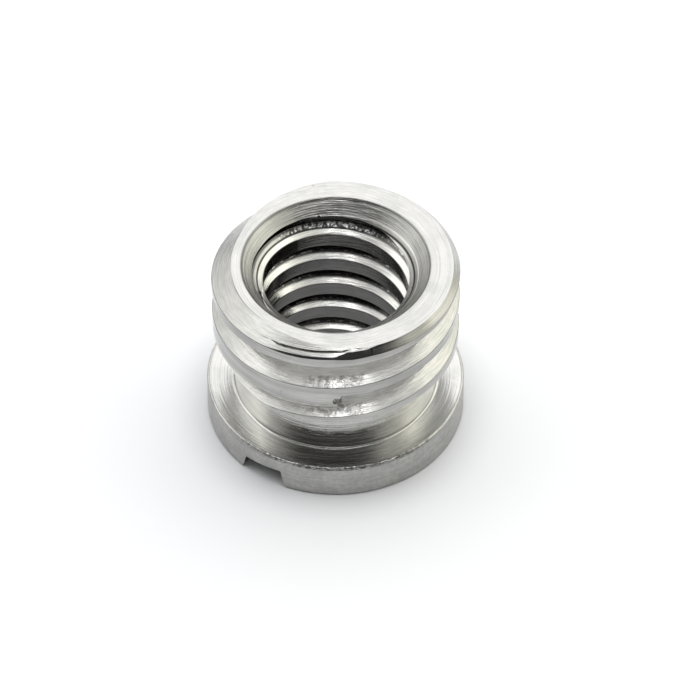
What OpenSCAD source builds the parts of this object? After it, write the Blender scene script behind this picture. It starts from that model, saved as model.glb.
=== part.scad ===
// Tripod thread adapter: a short turned bushing that takes a 1/4-20 screw in
// its bore and presents a 3/8-16 thread outside, above a slotted flange.
// One metal piece. Millimetres, flange down, thread axis on +Z.

/* [Outer thread, 3/8-16 UNC] */
// axial distance from one crest to the next
outer_pitch = 1.5875;
// [1:0.0005:2]
// diameter over the crests
outer_d = 9.4;
// [9.2:0.05:9.55]
// diameter at the bottom of the groove
outer_root_d = 7.9;
// [7.7:0.05:8.1]
// axial width of the flat left on each crest
outer_crest = 0.42;
// [0.2:0.02:0.5]
// height above the base of a crest's upper edge, where the thread crosses +X
outer_phase = 4.33;
// [3.5:0.01:5.1]
// diameter at the bottom of the shallow groove where the thread runs out
runout_root_d = 8.65;
// [8:0.05:9.3]
// direction in which the full groove turns shallow, anticlockwise from +X
runout_at = -56;
// [-180:1:180]

/* [Inner thread, 1/4-20 UNC] */
// axial distance from one crest to the next
inner_pitch = 1.27;
// [1:0.005:1.5]
// diameter at the bottom of the groove
inner_d = 6.35;
// [6.3:0.01:6.4]
// diameter of the drilled hole, left on the thread's crests
drill_d = 5.5;
// [5.1:0.05:5.6]
// axial width of the flat left on each crest
inner_crest = 0.58;
// [0.5:0.02:0.7]
// height above the base of a crest's upper edge, where the thread crosses +X
inner_phase = 0.61;
// [0:0.01:1.27]

/* [Top end] */
// overall height
height = 7.5;
// [7:0.05:8]
// size of the 45 degree chamfer between the flat ring and the crests
top_chamfer = 0.25;
// [0.1:0.01:0.5]
// diameter of the countersink's mouth
sink_mouth_d = 7.16;
// [6.8:0.02:7.4]
// angle between the countersink's wall and the axis
sink_angle = 45;
// [40:1:60]

/* [Neck and flange] */
// diameter of the plain neck below the thread
neck_d = 7.8;
// [7.6:0.05:7.9]
// height of the plain neck
neck_h = 2.45;
// [2:0.05:3]
// radius of the fillet between neck and flange
neck_fillet = 0.14;
// [0.05:0.01:0.3]
// diameter of the flange
flange_d = 9.9;
// [9.6:0.05:10.4]
// thickness of the flange
flange_t = 1.5;
// [1.2:0.05:1.8]
// size of the broken edges on the flange rim
rim_break = 0.08;
// [0.04:0.01:0.15]
// mouth of the bevel where the screw enters the bore from below
bore_mouth_d = 6.6;
// [6:0.1:7]
// angle between that bevel and the axis
bore_mouth_angle = 45;
// [40:1:60]

/* [Driver slot] */
// width of the slot across the flange's underside
slot_w = 1.65;
// [1.4:0.05:2]
// depth of the slot
slot_depth = 0.75;
// [0.5:0.05:1]

/* [Colour] */
// colour of the plated metal
metal = "#b3b3ad";

/* [Hidden] */

// circles are smooth; the threads are built from this many steps a turn
$fn = 96;
outer_steps = 48;
inner_steps = 36;
fillet_steps = 5;
// half the 60 degree included angle of a unified thread
flank = 30;
// share of a step kept from, or given to, the crest cylinder
outer_share = 0.5;
inner_share = 0.8;
// overlap past a surface that a tool cuts through
over = 0.4;

neck_top = flange_t + neck_h;
// how far the rod's corners stand out, so the crests are cut by the true cylinder
outer_swell = cos(180 / outer_steps * outer_share) / cos(180 / outer_steps);
inner_swell = cos(180 / inner_steps * inner_share) / cos(180 / inner_steps);
// axial opening of a groove from crest edge to crest edge
outer_open = outer_pitch - outer_crest;
inner_open = inner_pitch - inner_crest;
outer_depth = (outer_d - outer_root_d) / 2;
runout_depth = (outer_d - runout_root_d) / 2;
inner_depth = (inner_d - drill_d) / 2;
// the shallow groove keeps the full groove's root width
runout_open = outer_open - 2 * (outer_depth - runout_depth) * tan(flank);

// turns of the outer rod before and after the crossing that outer_phase names
outer_turns = 5;
outer_before = 2;
// steps from the rod's start to the end of the shallow groove
runout_steps = outer_steps * outer_before + round(runout_at / 360 * outer_steps);
inner_turns = ceil((height + 2 * over) / inner_pitch) + 2;
inner_before = 2;

// One row of a thread's section, from a crest's lower edge up to the foot of
// the next flank: [radius, height] pairs, the crest's upper edge at height 0.
function row(r, depth, open, below) = [
    [r, -below],
    [r, 0],
    [r - depth, depth * tan(flank)],
    [r - depth, open - depth * tan(flank)]];

function outer_row(i, swell) = let (
        shallow = i < runout_steps,
        depth = shallow ? runout_depth : outer_depth,
        open = shallow ? runout_open : outer_open,
        under = i - outer_steps < runout_steps ? runout_open : outer_open)
    row(outer_d / 2 * swell, depth, open, outer_pitch - under);

// The bore's thread, wide at its grooves: the groove bottom is this rod's crest.
function inner_row(swell) = let (
        flat = inner_open - 2 * inner_depth * tan(flank))
    row(inner_d / 2, inner_depth + drill_d / 2 * (1 - swell),
        inner_pitch - flat, flat);

// A right-hand helical solid closed by a fan at each end. rows[i] is the
// section at step i of steps a turn; rows join along the helix and each
// section's last point meets the first point of the row one turn above.
module helical_rod(rows, steps, pitch) {
    n = len(rows[0]);
    last = len(rows) - 1;
    top = last - steps;
    body = [for (i = [0 : last]) for (p = rows[i])
        [p[0] * cos(360 * i / steps), p[0] * sin(360 * i / steps),
         p[1] + pitch * i / steps]];
    low = len(body);
    high = low + 1;
    points = concat(body, [
        [0, 0, rows[0][0][1]],
        [0, 0, pitch * last / steps + rows[last][n - 1][1]]]);
    wall = [for (i = [0 : last - 1]) for (j = [0 : n - 2]) for (t = [0, 1])
        t == 0 ? [i * n + j, i * n + j + 1, (i + 1) * n + j]
               : [(i + 1) * n + j, i * n + j + 1, (i + 1) * n + j + 1]];
    seam = [for (i = [0 : top - 1]) for (t = [0, 1])
        t == 0 ? [i * n + n - 1, (i + steps) * n, (i + 1) * n + n - 1]
               : [(i + 1) * n + n - 1, (i + steps) * n, (i + 1 + steps) * n]];
    floor = [for (i = [0 : steps - 1]) [low, i * n, (i + 1) * n]];
    floor_step = [concat([low], [steps * n], [for (j = [n - 1 : -1 : 0]) j])];
    roof = [for (i = [top : last - 1]) [high, (i + 1) * n + n - 1, i * n + n - 1]];
    roof_step = [concat([high], [top * n + n - 1], [for (j = [0 : n - 1]) last * n + j])];
    polyhedron(points, concat(wall, seam, floor, floor_step, roof, roof_step),
        convexity = 2 * inner_turns);
}

// Everything a lathe leaves below the thread, carried up inside its core.
module neck_and_flange() {
    neck_r = neck_d / 2;
    rim_r = flange_d / 2;
    rotate_extrude()
        polygon(concat(
            [[0, 0], [rim_r - rim_break, 0], [rim_r, rim_break],
             [rim_r, flange_t - rim_break], [rim_r - rim_break, flange_t]],
            [for (k = [0 : fillet_steps]) let (a = 90 * k / fillet_steps)
                [neck_r + neck_fillet * (1 - sin(a)),
                 flange_t + neck_fillet * (1 - cos(a))]],
            [[neck_r, neck_top + over], [0, neck_top + over]]));
}

// The blank that the outer thread is cut in, chamfered where the thread starts.
module thread_blank() {
    crest_r = outer_d / 2;
    rotate_extrude()
        polygon([[0, neck_top], [crest_r, neck_top],
                 [crest_r, height - top_chamfer], [crest_r - top_chamfer, height],
                 [0, height]]);
}

module outer_thread() {
    rows = [for (i = [0 : outer_steps * outer_turns]) outer_row(i, outer_swell)];
    intersection() {
        thread_blank();
        translate([0, 0, outer_phase - outer_before * outer_pitch])
            helical_rod(rows, outer_steps, outer_pitch);
    }
}

// A conical entry that opens from the drilled wall to mouth_d at height 0.
module entry_bevel(mouth_d, angle) {
    depth = (mouth_d - drill_d) / 2 / tan(angle);
    translate([0, 0, -over])
        cylinder(h = depth + over, d1 = mouth_d + 2 * over * tan(angle),
            d2 = drill_d);
}

// Drilled wall, the cut of the tap, and an entry bevel at both ends.
module threaded_bore() {
    rows = [for (i = [0 : inner_steps * inner_turns]) inner_row(inner_swell)];
    first = inner_phase - inner_crest - inner_depth * tan(flank);
    translate([0, 0, -over])
        cylinder(h = height + 2 * over, d = drill_d);
    translate([0, 0, first - inner_before * inner_pitch])
        helical_rod(rows, inner_steps, inner_pitch);
    entry_bevel(bore_mouth_d, bore_mouth_angle);
    translate([0, 0, height])
        mirror([0, 0, 1])
            entry_bevel(sink_mouth_d, sink_angle);
}

module driver_slot() {
    translate([-slot_w / 2, -flange_d, -over])
        cube([slot_w, 2 * flange_d, slot_depth + over]);
}

module adapter_bushing() {
    color(metal)
        difference() {
            union() {
                neck_and_flange();
                outer_thread();
            }
            threaded_bore();
            driver_slot();
        }
}

adapter_bushing();
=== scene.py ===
"""Looks for a tripod thread adapter: one bright turned bushing with two threads."""

import math

import bmesh
import bpy
from mathutils import Matrix, Vector, noise


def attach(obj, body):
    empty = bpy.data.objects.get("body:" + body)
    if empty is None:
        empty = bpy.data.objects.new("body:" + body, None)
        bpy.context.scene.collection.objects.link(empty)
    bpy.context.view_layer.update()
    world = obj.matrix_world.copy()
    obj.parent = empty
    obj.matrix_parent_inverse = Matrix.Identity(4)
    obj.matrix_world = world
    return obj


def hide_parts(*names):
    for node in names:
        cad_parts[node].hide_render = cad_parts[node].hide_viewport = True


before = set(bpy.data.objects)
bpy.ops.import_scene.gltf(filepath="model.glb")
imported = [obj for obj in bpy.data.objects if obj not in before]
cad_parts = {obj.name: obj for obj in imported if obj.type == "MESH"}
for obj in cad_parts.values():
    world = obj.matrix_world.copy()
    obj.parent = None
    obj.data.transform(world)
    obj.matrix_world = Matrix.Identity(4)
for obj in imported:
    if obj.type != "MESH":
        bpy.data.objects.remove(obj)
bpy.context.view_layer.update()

MM = 0.001
FLANK = math.tan(math.radians(30))

# The part's sizes in millimetres, as in its CAD source.
HEIGHT = 7.5
FLANGE_R, FLANGE_T = 4.95, 1.5
NECK_R, NECK_TOP = 3.9, 3.95
CHAMFER = 0.25
OUTER_R, OUTER_ROOT, OUTER_PITCH, OUTER_CREST, OUTER_PHASE = 4.69, 3.95, 1.5875, 0.42, 4.33
BORE_R, GROOVE_R, INNER_PITCH, INNER_CREST, INNER_PHASE = 2.75, 3.175, 1.27, 0.58, 0.61
MOUTH_R, LOWER_MOUTH_R, DRILL_R = 3.58, 3.3, 2.4
SLOT_W, SLOT_DEPTH = 1.65, 0.75

# The outer groove turns shallow here, in degrees round from +X, over two steps of the helix.
RUNOUT_ROOT, RUNOUT_AT, RUNOUT_STEPS = 4.325, -53.5, 2
# The bore's ridges rise this much more a turn than the pitch, from one turn on and for some turns.
RISE, RISE_FROM, RISE_TURNS = 0.068, 2, 3.5
# How far, and at which turn of the bore's thread, the countersink has torn the last ridge.
BREAKOUT, BREAKOUT_TURN = 0.12, 5.35
# A scored line on the outer thread's first flank: distance in from the crest, turn and depth,
# its section as (distance from its bottom, share of its depth), and the flank's inward direction.
SCORE_AT, SCORE_TURN, SCORE_DEPTH = 0.27, 1.80, 0.11
SCORE_SECTION = ((-0.075, 0), (-0.065, 0), (0, 1), (0.02, 0), (0.03, 0))
FLANK_IN_R, FLANK_IN_Z = 0.5, 0.87
# The facet worn off the crest above it: everywhere, under the line, and past the line.
FACET, FACET_AT_SCORE, FACET_PAST_SCORE = 0.004, 0.026, 0.10

# The round end of the outer groove, then nicks: (angle, r, z), radius, stretch along r.
NICKS = (
    ((-54.1, 4.60, 4.96), 0.18, 1.7),
    ((-10.2, 4.97, 1.50), 0.13, 1.0),
    ((-83.2, 4.66, 4.13), 0.11, 1.0),
    ((-80.6, 4.76, 5.03), 0.09, 1.0),
    ((137.0, 4.28, 7.53), 0.06, 1.0),
    ((137.5, 3.08, 7.00), 0.07, 1.0),
)

STEPS, BORE_STEPS = 360, 300
TURNS_BELOW = 2
SUPPORT = 0.012
ARC_STEP = math.radians(12.5)
SHARP = math.radians(13.5)
WELD = 1e-7
CUT_BEYOND = 0.5

# Marks have their place on the part: its marked front is at 35 degrees from -Y towards +X.
FRONT_COS, FRONT_SIN = 0.819, 0.574


def rounded(corner, into, out, radius):
    """Points of an arc of that radius in place of a corner between two directions.

    A point a little before and after the arc keeps the flats beside it shaded flat."""
    a, b = Vector(into).normalized(), Vector(out).normalized()
    turn = a.angle(b)
    steps = math.ceil(turn / ARC_STEP)
    reach = radius * math.tan(turn / 2)
    start = Vector(corner) - a * reach
    side = 1 if a.x * b.y - a.y * b.x > 0 else -1
    centre = start + Vector((-a.y, a.x)) * radius * side
    spoke = start - centre
    points = [start - a * SUPPORT]
    for k in range(steps + 1):
        t = side * turn * k / steps
        points.append(centre + Vector((spoke.x * math.cos(t) - spoke.y * math.sin(t),
                                       spoke.x * math.sin(t) + spoke.y * math.cos(t))))
    points.append(points[-1] + b * SUPPORT)
    return [(point.x, point.y) for point in points]


def rounded_outline(corners, closed=False):
    """corners are (r, z, radius); a radius of 0 keeps the corner sharp."""
    points = []
    n = len(corners)
    for i, (r, z, radius) in enumerate(corners):
        if radius == 0 or (not closed and i in (0, n - 1)):
            points.append((r, z))
            continue
        before, after = corners[i - 1], corners[(i + 1) % n]
        points += rounded((r, z), (r - before[0], z - before[1]),
                          (after[0] - r, after[1] - z), radius)
    return points


def new_object(name, bm):
    """Makes a bmesh the mesh of a new object, with its faces pointing outwards."""
    bmesh.ops.recalc_face_normals(bm, faces=bm.faces)
    mesh = bpy.data.meshes.new(name)
    bm.to_mesh(mesh)
    bm.free()
    obj = bpy.data.objects.new(name, mesh)
    bpy.context.scene.collection.objects.link(obj)
    return obj


def turned(name, outline):
    """A closed solid of revolution; the outline runs from axis to axis."""
    bm = bmesh.new()
    profile = [bm.verts.new(Vector((r, 0, z)) * MM) for r, z in outline]
    edges = [bm.edges.new(pair) for pair in zip(profile, profile[1:])]
    bmesh.ops.spin(bm, geom=profile + edges, cent=(0, 0, 0), axis=(0, 0, 1),
                   angle=2 * math.pi, steps=STEPS, use_merge=True)
    bmesh.ops.remove_doubles(bm, verts=bm.verts, dist=WELD)
    return new_object(name, bm)


def helical_rod(name, row, steps, pitch, turns, start):
    """A right-hand threaded rod. row(i) gives the section at step i as (r, z) pairs.

    The section changes along the helix, so the rows are joined here and not by a spin."""
    rows = [row(i) for i in range(int(steps * turns) + 1)]
    n, last = len(rows[0]), len(rows) - 1
    verts = []
    for i, section in enumerate(rows):
        a, rise = 2 * math.pi * i / steps, start + pitch * i / steps
        verts += [(r * math.cos(a), r * math.sin(a), z + rise) for r, z in section]
    low = len(verts)
    top = low + 1
    verts += [(0, 0, start + rows[0][0][1]),
              (0, 0, start + pitch * last / steps + rows[last][-1][1])]
    faces = [(i * n + j, (i + 1) * n + j, (i + 1) * n + j + 1, i * n + j + 1)
             for i in range(last) for j in range(n - 1)]
    faces += [(i * n + n - 1, (i + 1) * n + n - 1, (i + 1 + steps) * n, (i + steps) * n)
              for i in range(last - steps)]
    faces += [(low, (i + 1) * n, i * n) for i in range(steps)]
    faces.append([low] + list(range(n)) + [steps * n])
    faces += [(top, i * n + n - 1, (i + 1) * n + n - 1) for i in range(last - steps, last)]
    faces.append([top] + list(range(last * n + n - 1, last * n - 1, -1))
                 + [(last - steps) * n + n - 1])
    mesh = bpy.data.meshes.new(name)
    mesh.from_pydata([Vector(v) * MM for v in verts], [], faces)
    bm = bmesh.new()
    bm.from_mesh(mesh)
    bpy.data.meshes.remove(mesh)
    return new_object(name, bm)


def scored_flank(crest_r, lift, score):
    """Points of a fine line along a flank, at its deepest by score."""
    points = []
    for along, share in SCORE_SECTION:
        s, deep = SCORE_AT + along, share * score
        points.append((crest_r - s - deep * FLANK_IN_R, lift + s * FLANK - deep * FLANK_IN_Z))
    return points


def thread_row(crest_r, root_r, opening, below, edge, hollow, lift=0.0, worn=None, score=0.0):
    """One turn of a 60 degree thread, from a crest's lower edge to the next flank's foot.

    worn takes a 45 degree facet of that drop off the crest's upper edge, and score is
    the depth of a fine line along the flank above it."""
    depth = crest_r - root_r
    up_in, up_out, up = (-1, FLANK), (1, FLANK), (0, 1)
    if worn is None:
        upper = rounded((crest_r, lift), up, up_in, edge)
    else:
        reach = worn / (1 - FLANK)
        upper = rounded((crest_r, lift - worn), up, (-1, 1), edge)
        upper += rounded((crest_r - reach, lift + reach * FLANK), (-1, 1), up_in, edge)
        upper += scored_flank(crest_r, lift, score)
    return (rounded((crest_r, -below), up_out, up, edge) + upper
            + rounded((root_r, lift + depth * FLANK), up_in, up, hollow)
            + rounded((root_r, opening - depth * FLANK), up, up_out, hollow))


def cut(target, tool, operation="DIFFERENCE"):
    modifier = target.modifiers.new("cut", "BOOLEAN")
    modifier.operation = operation
    modifier.solver = "MANIFOLD"
    modifier.object = tool
    depsgraph = bpy.context.evaluated_depsgraph_get()
    mesh = bpy.data.meshes.new_from_object(target.evaluated_get(depsgraph))
    target.modifiers.clear()
    target.data = mesh
    bpy.data.objects.remove(tool)


def hump(value, centre, width):
    """1 about a centre, falling off steeply past a width either way."""
    return math.exp(-((value - centre) / width) ** 4)


def outer_rod():
    runout = TURNS_BELOW * STEPS + round(RUNOUT_AT / 360 * STEPS)
    full_open = OUTER_PITCH - OUTER_CREST
    shallow_open = full_open - 2 * (RUNOUT_ROOT - OUTER_ROOT) * FLANK

    def full(i):
        """0 in the shallow groove and 1 in the full one."""
        return min(max((i - runout) / RUNOUT_STEPS, 0), 1)

    def wave(i, seed, size):
        """A slow unevenness along the helix."""
        a = 2 * math.pi * i / STEPS
        return size * noise.noise(Vector((2.2 * math.cos(a), 2.2 * math.sin(a),
                                          i / STEPS * 1.3 + seed)))

    def row(i):
        share, share_below = full(i), full(i - STEPS)
        below_open = full_open * share_below + shallow_open * (1 - share_below)
        opening = full_open * share + shallow_open * (1 - share)
        root = OUTER_ROOT * share + RUNOUT_ROOT * (1 - share)
        turn = i / STEPS - TURNS_BELOW
        scored = hump(turn, SCORE_TURN + 0.012, 0.05)
        past = min(max((turn - SCORE_TURN - 0.046) / 0.023, 0), 1) * hump(turn, SCORE_TURN, 0.15)
        return thread_row(
            OUTER_R + wave(i, 3, 0.008), root, opening, OUTER_PITCH - below_open + wave(i, 9, 0.03),
            edge=0.009, hollow=0.03,
            worn=FACET + FACET_AT_SCORE * scored + FACET_PAST_SCORE * past,
            score=SCORE_DEPTH * scored)

    return helical_rod("outer_rod", row, STEPS, OUTER_PITCH, 5,
                       OUTER_PHASE - TURNS_BELOW * OUTER_PITCH)


def inner_rod():
    depth = GROOVE_R - BORE_R
    flat = INNER_PITCH - INNER_CREST - 2 * depth * FLANK
    first = INNER_PHASE - INNER_CREST - depth * FLANK

    def row(i):
        """The ridges rise faster than the pitch, and the last groove is torn open upward."""
        turn = i / BORE_STEPS - TURNS_BELOW
        ragged = 0.03 * noise.noise(Vector((i * 0.11, 0.0, 0.0)))
        lead = RISE * min(max(turn - RISE_FROM, 0), RISE_TURNS)
        section = thread_row(GROOVE_R, BORE_R, INNER_PITCH - flat, flat, edge=0.01, hollow=0.03,
                             lift=(BREAKOUT + ragged) * hump(turn, BREAKOUT_TURN, 0.13))
        return [(r, z + lead) for r, z in section]

    return helical_rod("inner_rod", row, BORE_STEPS, INNER_PITCH, 9,
                       first - TURNS_BELOW * INNER_PITCH)


def nick(place, radius, stretch):
    """A small blob to cut with; place is (angle from +X in degrees, r, z)."""
    angle, r, z = math.radians(place[0]), place[1], place[2]
    bm = bmesh.new()
    bmesh.ops.create_icosphere(bm, subdivisions=2, radius=radius * MM)
    bmesh.ops.scale(bm, vec=(stretch, 1, 1), verts=bm.verts)
    bmesh.ops.rotate(bm, matrix=Matrix.Rotation(angle, 3, "Z"), verts=bm.verts)
    bmesh.ops.translate(bm, vec=Vector((r * math.cos(angle), r * math.sin(angle), z)) * MM,
                        verts=bm.verts)
    return new_object("nick", bm)


def slot_tool():
    """The driver slot's section, carried right across: its worn walls flare and aren't even."""
    half, left, right, end = SLOT_W / 2, SLOT_DEPTH - 0.05, SLOT_DEPTH + 0.09, 6
    roof = (-2 * half, left - right)
    outline = [(-half - 0.50, -0.4), (half + 0.80, -0.4), (half + 0.36, 0), (half + 0.20, 0.12)]
    outline += rounded((half + 0.06, right), (-0.14, right - 0.12), roof, 0.06)
    outline += rounded((0.11 - half, left), roof, (-0.12, 0.2 - left), 0.05)
    outline += [(-half - 0.01, 0.2), (-half - 0.10, 0)]
    bm = bmesh.new()
    section = bm.faces.new([bm.verts.new(Vector((x, -end, z)) * MM) for x, z in outline])
    carried = bmesh.ops.extrude_face_region(bm, geom=[section])["geom"]
    bmesh.ops.translate(bm, vec=(0, 2 * end * MM, 0),
                        verts=[v for v in carried if isinstance(v, bmesh.types.BMVert)])
    return new_object("slot_tool", bm)


def build_adapter():
    neck_end, top = NECK_TOP + CUT_BEYOND, HEIGHT + CUT_BEYOND
    wide = OUTER_R + 0.2
    body = turned("adapter", rounded_outline([
        (0, 0, 0), (FLANGE_R, 0, 0.07), (FLANGE_R, FLANGE_T, 0.09),
        (NECK_R, FLANGE_T, 0.09), (NECK_R, neck_end, 0), (0, neck_end, 0)]))
    blank = turned("blank", rounded_outline([
        (0, NECK_TOP, 0), (wide, NECK_TOP, 0), (wide, HEIGHT - CHAMFER - 0.2, 0),
        (OUTER_R - CHAMFER, HEIGHT, 0.02), (0, HEIGHT, 0)]))
    cut(blank, outer_rod(), "INTERSECT")
    cut(body, blank, "UNION")
    cut(body, inner_rod())
    sink_foot, bevel_top = HEIGHT - (MOUTH_R - DRILL_R), LOWER_MOUTH_R - DRILL_R
    cut(body, turned("sink", rounded_outline([
        (0, sink_foot, 0), (DRILL_R, sink_foot, 0), (MOUTH_R, HEIGHT, 0.03),
        (MOUTH_R + 0.8, HEIGHT + 0.06, 0), (MOUTH_R + 0.8, top, 0), (0, top, 0)])))
    cut(body, turned("lower_bevel", [
        (0, -0.4), (LOWER_MOUTH_R + 0.4, -0.4), (DRILL_R, bevel_top), (0, bevel_top)]))
    cut(body, slot_tool())
    for place, radius, stretch in NICKS:
        cut(body, nick(place, radius, stretch))
    body.data.shade_smooth()
    body.data.set_sharp_from_angle(angle=SHARP)
    return body


# ---------------------------------------------------------------- materials

class Nodes:
    """A short way to write a node tree."""

    def __init__(self, tree):
        self.tree = tree

    def add(self, kind, **values):
        """A new node; in_NAME or in_0 sets or links an input, and the rest are its properties."""
        node = self.tree.nodes.new(kind)
        for key, value in values.items():
            if not key.startswith("in_"):
                setattr(node, key, value)
                continue
            key = key[3:]
            socket = node.inputs[int(key) if key.isdigit() else key.replace("_", " ")]
            if isinstance(value, bpy.types.NodeSocket):
                self.tree.links.new(value, socket)
            else:
                socket.default_value = value
        return node

    def math(self, operation, a, b=0.0, c=0.0):
        return self.add("ShaderNodeMath", operation=operation, in_0=a, in_1=b, in_2=c).outputs[0]

    def product(self, first, *others):
        for other in others:
            first = self.math("MULTIPLY", first, other)
        return first

    def total(self, first, *others):
        for other in others:
            first = self.math("ADD", first, other)
        return first

    def scaled(self, tone, mask, share):
        """The tone, times 1 + share where the mask is 1."""
        return self.product(tone, self.math("MULTIPLY_ADD", mask, share, 1.0))

    def smooth(self, value, low, high, to_low=0.0, to_high=1.0):
        return self.add("ShaderNodeMapRange", interpolation_type="SMOOTHSTEP", in_0=value,
                        in_1=low, in_2=high, in_3=to_low, in_4=to_high).outputs[0]

    def below(self, value, low, high):
        return self.smooth(value, low, high, 1.0, 0.0)

    def near(self, value, centre, inner, outer):
        """1 within inner of a centre, 0 past outer."""
        gap = self.math("ABSOLUTE", self.math("SUBTRACT", value, centre))
        return self.below(gap, inner, outer)

    def dot(self, vector, axis):
        return self.add("ShaderNodeVectorMath", operation="DOT_PRODUCT", in_0=vector,
                        in_1=Vector(axis).normalized()).outputs["Value"]

    def mixed(self, share, first, second):
        """A colour between two, each given as (red, green, blue)."""
        node = self.add("ShaderNodeMix", data_type="RGBA", in_0=share)
        node.inputs[6].default_value = (*first, 1)
        node.inputs[7].default_value = (*second, 1)
        return node.outputs[2]


def turned_metal():
    """Bright plating over tool marks, with chips, pits, grime and dark marks in their places;
    painted shade in the bore and along the bottom edge, and painted highlights on the bore's
    flanks, the countersink's edge and the neck's foot.
    """
    material = bpy.data.materials.new("plated_steel")
    material.use_nodes = True
    n = Nodes(material.node_tree)
    texture = n.add("ShaderNodeTexCoord").outputs
    spot = texture["Object"]
    axes = n.add("ShaderNodeSeparateXYZ", in_0=spot).outputs
    x, y, z = (n.product(axes[k], 1000.0) for k in range(3))
    r = n.math("SQRT", n.total(n.product(x, x), n.product(y, y)))
    upward = n.add("ShaderNodeSeparateXYZ", in_0=texture["Normal"]).outputs[2]
    # -1 at the part's marked front and 1 opposite, and millimetres across it
    away = n.math("DIVIDE", n.math("SUBTRACT", n.product(y, FRONT_COS), n.product(x, FRONT_SIN)), r)
    across = n.total(n.product(x, FRONT_COS), n.product(y, FRONT_SIN))

    def rings(fine, around, detail):
        """Noise that runs round the axis like tool marks."""
        place = n.add("ShaderNodeCombineXYZ", in_0=n.product(r, fine), in_1=n.product(z, fine),
                      in_2=n.product(n.total(x, n.product(y, 0.7)), around))
        return n.add("ShaderNodeTexNoise", in_Vector=place.outputs[0], in_Scale=1.0,
                     in_Detail=detail, in_Roughness=0.6).outputs["Fac"]

    def speckle(scale, detail, roughness=0.5):
        return n.add("ShaderNodeTexNoise", in_Vector=spot, in_Scale=scale, in_Detail=detail,
                     in_Roughness=roughness).outputs["Fac"]

    marks = rings(7.0, 0.12, 3.0)
    scratches = rings(26.0, 0.9, 2.0)
    bands = n.smooth(rings(2.6, 0.10, 2.0), 0.36, 0.62, 0.85, 1.10)
    blotches = speckle(900.0, 4.0, 0.6)
    chips = speckle(8000.0, 3.0, 0.7)
    pits = speckle(5000.0, 3.0, 0.65)
    grain = speckle(6000.0, 2.0)

    # places on the part, 1 where they are
    above_neck = n.smooth(z, 3.9, 3.95)
    side = n.product(n.smooth(r, 4.86, 4.93), n.below(z, 1.46, 1.54))
    rim = n.product(n.smooth(r, 4.84, 4.88), n.near(z, 1.45, 0.04, 0.09))
    ledge = n.product(n.smooth(r, 4.05, 4.3), n.near(z, 1.5, 0.02, 0.04))
    # Painted light: the foot of the neck, just above the flange, is lightened all round.
    neck_foot_light = n.product(n.smooth(r, 3.8, 3.85), n.below(r, 3.93, 3.97), n.below(z, 2.5, 2.9))
    land = n.product(n.smooth(r, 4.66, 4.68), above_neck)
    front_flank = n.product(n.smooth(r, 4.22, 4.32), n.below(away, -0.985, -0.955),
                            n.below(z, 6.8, 6.9), above_neck, n.smooth(upward, 0.4, 0.6))
    cone = n.product(n.near(n.math("SUBTRACT", z, r), HEIGHT - MOUTH_R, 0.01, 0.03),
                     n.smooth(z, 6.6, 6.65))
    mouth_line = n.product(cone, n.smooth(z, 7.42, 7.45))
    # Painted highlight: a bright line round the countersink where the bore's thread cuts into it.
    sink_edge_highlight = n.product(cone, n.near(z, 7.03, 0.02, 0.035))
    bore_crest = n.below(r, 2.765, 2.785)
    # Painted shade: the bore's crest flats below its top turn are darkened.
    shaded_bore_crests = n.product(bore_crest, n.below(z, 6.4, 6.7))
    # Painted highlight: the bore's flanks are lightened.
    bore_flank_highlight = n.product(n.smooth(r, 2.78, 2.80), n.below(r, 2.93, 2.95))
    # A dark line painted round the middle of the bore's flanks in its top turns.
    flank_dark_line = n.product(n.near(r, 2.975, 0.024, 0.038), n.smooth(z, 6.3, 6.4))
    # The bore's top crest flat is darkened on the left of the far side.
    far_left_crest_dark = n.product(bore_crest, n.smooth(z, 5.6, 5.7), n.below(across, -1.50, -1.44),
                      n.smooth(away, 0.1, 0.3))
    torn = n.product(n.smooth(r, 2.97, 2.99), n.below(r, 3.16, 3.18), n.smooth(z, 6.3, 6.4),
                     n.below(z, 6.85, 6.9), n.smooth(away, 0.6, 0.85))
    flecks = n.product(n.smooth(speckle(5200.0, 2.0), 0.5, 0.58), n.near(r, 3.06, 0.015, 0.035))
    # Painted shade together with grime: the bore's grooves are darkened, less so at the bright
    # flecks.
    lower_groove = n.product(n.smooth(r, 2.95, 3.0), n.below(z, 6.3, 6.45))
    upper_groove = n.product(n.smooth(r, 3.05, 3.14), n.below(z, 6.98, 7.02))
    groove_shade_and_grime = n.product(n.math("MAXIMUM", lower_groove, upper_groove), n.below(r, 3.2, 3.22),
                      n.math("SUBTRACT", 1.0, flecks))

    keep = n.math("SUBTRACT", 1.0, n.total(n.product(side, 0.28), n.product(shaded_bore_crests, 0.58),
                                           n.product(land, 0.25)))
    # The bottom 0.1 mm of the part is darkened: a painted contact shadow.
    keep = n.product(keep, n.smooth(scratches, 0.3, 0.7, 0.86, 1.06),
                     n.smooth(z, 0.0, 0.10, 0.35, 1.0))
    keep = n.scaled(keep, land, n.math("SUBTRACT", bands, 1.0))
    worn = n.product(n.smooth(chips, 0.42, 0.60, -0.75, 0.0), n.below(away, -0.93, -0.55))
    for place, share in (
            (groove_shade_and_grime, -0.75), (rim, worn), (front_flank, n.smooth(pits, 0.44, 0.58, 0.0, -0.42)),
            (flank_dark_line, -0.85), (mouth_line, -0.40), (sink_edge_highlight, 0.6), (far_left_crest_dark, -0.7), (bore_flank_highlight, 0.34),
            (torn, n.smooth(chips, 0.46, 0.62, -0.9, 0.1)), (neck_foot_light, 0.20), (ledge, 0.06),
            (side, 0.05), (side, n.smooth(grain, 0.35, 0.65, -0.06, 0.08))):
        keep = n.scaled(keep, place, share)
    tone = n.mixed(n.smooth(blotches, 0.35, 0.7), (0.61, 0.605, 0.585), (0.54, 0.54, 0.525))
    dull = n.add("ShaderNodeMix", data_type="RGBA", blend_type="MULTIPLY", in_0=1.0,
                 in_6=tone, in_7=keep)

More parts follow.
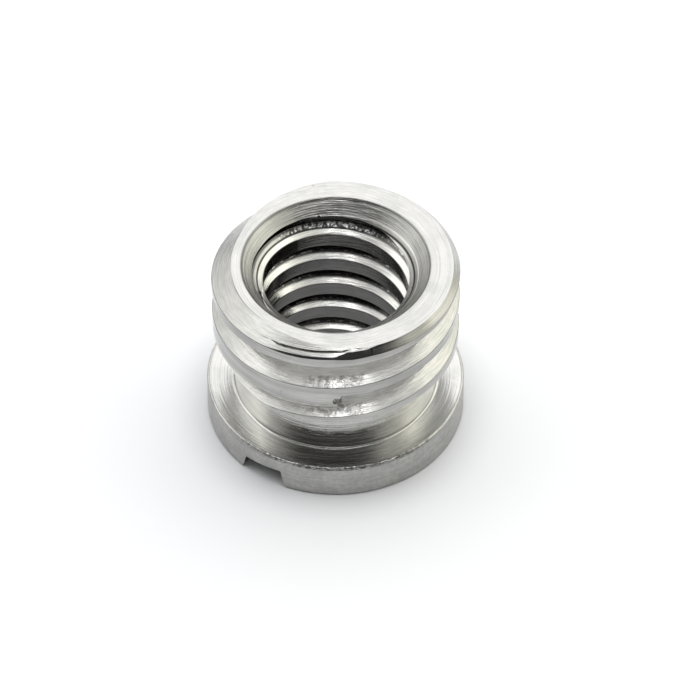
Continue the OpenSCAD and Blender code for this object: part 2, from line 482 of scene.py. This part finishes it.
    roughness = n.total(n.smooth(marks, 0.35, 0.65, 0.10, 0.19), n.product(side, 0.24),
                        n.product(cone, 0.17), n.smooth(blotches, 0.4, 0.7, -0.02, 0.04),
                        n.product(front_flank, -0.06))
    height = n.total(n.product(marks, 0.6), n.product(scratches, 0.35), n.product(blotches, 0.15))
    height = n.product(height, n.total(n.product(cone, 2.5), n.product(side, -0.6), 1.0))
    height = n.total(height, n.product(grain, n.total(
        n.product(side, 0.8), n.product(front_flank, 0.5), n.product(rim, 4.0))))
    bump = n.add("ShaderNodeBump", in_Strength=0.6, in_Distance=0.00002, in_Height=height)

    shader = material.node_tree.nodes["Principled BSDF"]
    shader.inputs["Metallic"].default_value = 1.0
    for value, socket in ((dull.outputs[2], "Base Color"), (roughness, "Roughness"),
                          (bump.outputs[0], "Normal")):
        material.node_tree.links.new(value, shader.inputs[socket])
    return material


adapter = build_adapter()
adapter.data.materials.clear()
adapter.data.materials.append(turned_metal())
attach(adapter, "root")
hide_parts("adapter_bushing")

# ---------------------------------------------------------------- stage, light, camera

AZIMUTH, ELEVATION, ROLL = math.radians(35.0), math.radians(46.72), math.radians(0.29)
DISTANCE, FOCAL_PX, FRAME_PX, SENSOR = 0.180, 4641.0, 700, 36
SHIFT_X, SHIFT_Y = -0.552, -1.921
FLOOR_REACH = 0.9
GLOW, UNDER_SHADE = 0.12, 0.75
# lamps: degrees round from the camera's side, elevation, angular radius, strength
LAMPS = ((-15, 73, 3.4, 2.4), (31, 71, 2.4, 2.8), (0, 90, 10.0, 5.0))

right = Vector((math.cos(AZIMUTH), math.sin(AZIMUTH), 0))
front = Vector((math.sin(AZIMUTH), -math.cos(AZIMUTH), 0))
back = front * math.cos(ELEVATION) + Vector((0, 0, math.sin(ELEVATION)))
up = back.cross(right)


def white_floor():
    """Pale paper, shaded under the part, with a little glow where it is seen or mirrored."""
    bm = bmesh.new()
    bmesh.ops.create_grid(bm, x_segments=1, y_segments=1, size=FLOOR_REACH)
    paper = new_object("floor", bm)
    material = bpy.data.materials.new("white_sweep")
    material.use_nodes = True
    n = Nodes(material.node_tree)
    spot = n.add("ShaderNodeTexCoord").outputs["Object"]
    reach = n.add("ShaderNodeVectorMath", operation="LENGTH", in_0=spot).outputs["Value"]
    under = n.product(n.smooth(reach, 0.0032, 0.0035), n.below(reach, 0.0041, 0.0049))
    clear = n.math("MAXIMUM", n.smooth(reach, 0.0048, 0.0066), n.below(reach, 0.0030, 0.0033))
    ray = n.add("ShaderNodeLightPath").outputs
    seen = n.math("MAXIMUM", ray["Is Camera Ray"], ray["Is Glossy Ray"])
    shader = material.node_tree.nodes["Principled BSDF"].inputs
    shader["Roughness"].default_value = 0.7
    shader["Specular IOR Level"].default_value = 0.1
    shader["Emission Color"].default_value = (1.0, 1.0, 1.0, 1)
    color = n.mixed(n.product(under, UNDER_SHADE), (0.86, 0.87, 0.895), (0.15, 0.15, 0.155))
    material.node_tree.links.new(color, shader["Base Color"])
    material.node_tree.links.new(n.product(clear, seen, GLOW), shader["Emission Strength"])
    paper.data.materials.append(material)
    return paper


def aim(azimuth, elevation):
    """A direction given from the camera's side: 0 is towards the camera, 90 to its right."""
    a, e = math.radians(azimuth), math.radians(elevation)
    return (front * math.cos(a) + right * math.sin(a)) * math.cos(e) + Vector((0, 0, math.sin(e)))


def studio_light():
    """Soft light from all round, a dark room behind the camera, and three lamps overhead."""
    world = bpy.data.worlds.new("studio")
    world.use_nodes = True
    n = Nodes(world.node_tree)
    direction = n.add("ShaderNodeTexCoord").outputs["Generated"]
    height = n.dot(direction, (0, 0, 1))

    def around(vector, inner, outer):
        """1 within inner degrees of a direction, falling to 0 at outer degrees."""
        return n.smooth(n.dot(direction, vector), math.cos(math.radians(outer)),
                        math.cos(math.radians(inner)))

    light = n.smooth(height, 0.0, 0.9, 1.14, 1.60)
    # the unlit room behind the camera: a wide band low over the table
    room = n.product(n.smooth(height, 0.20, 0.34), n.below(height, 0.84, 0.91),
                     n.smooth(n.dot(direction, aim(-5, 0)), 0.20, 0.54))
    light = n.scaled(light, room, -0.94)
    light = n.product(light, n.smooth(height, 0.02, 0.22, 0.55, 1.0))
    above = n.product(n.below(height, 0.90, 0.985), n.smooth(n.dot(direction, front), -0.05, 0.15))
    light = n.scaled(light, above, -0.5)
    light = n.scaled(light, around(aim(-137, 18), 10, 45), -0.20)
    for azimuth, elevation, size, power in LAMPS:
        light = n.total(light, n.product(around(aim(azimuth, elevation), size * 0.7, size), power))
    warmth = n.math("MAXIMUM", n.smooth(n.dot(direction, right), 0.2, 0.85),
                    n.smooth(n.dot(direction, -right), 0.3, 0.9, 0.0, 0.3))
    background = world.node_tree.nodes["Background"].inputs
    world.node_tree.links.new(light, background["Strength"])
    world.node_tree.links.new(n.mixed(warmth, (1.0, 1.0, 1.0), (1.0, 0.992, 0.88)),
                              background["Color"])
    return world


def place_camera():
    data = bpy.data.cameras.new("camera")
    data.sensor_width = SENSOR
    data.lens = FOCAL_PX * SENSOR / FRAME_PX
    data.clip_start = 0.01
    camera = bpy.data.objects.new("camera", data)
    bpy.context.scene.collection.objects.link(camera)
    turn = Matrix((right, up, back)).transposed() @ Matrix.Rotation(ROLL, 3, "Z")
    camera.matrix_world = Matrix.Translation(
        back * DISTANCE - right * SHIFT_X * MM - up * SHIFT_Y * MM) @ turn.to_4x4()
    return camera


white_floor()
bpy.context.scene.world = studio_light()
bpy.context.scene.camera = place_camera()
bpy.context.scene.view_settings.view_transform = "Standard"
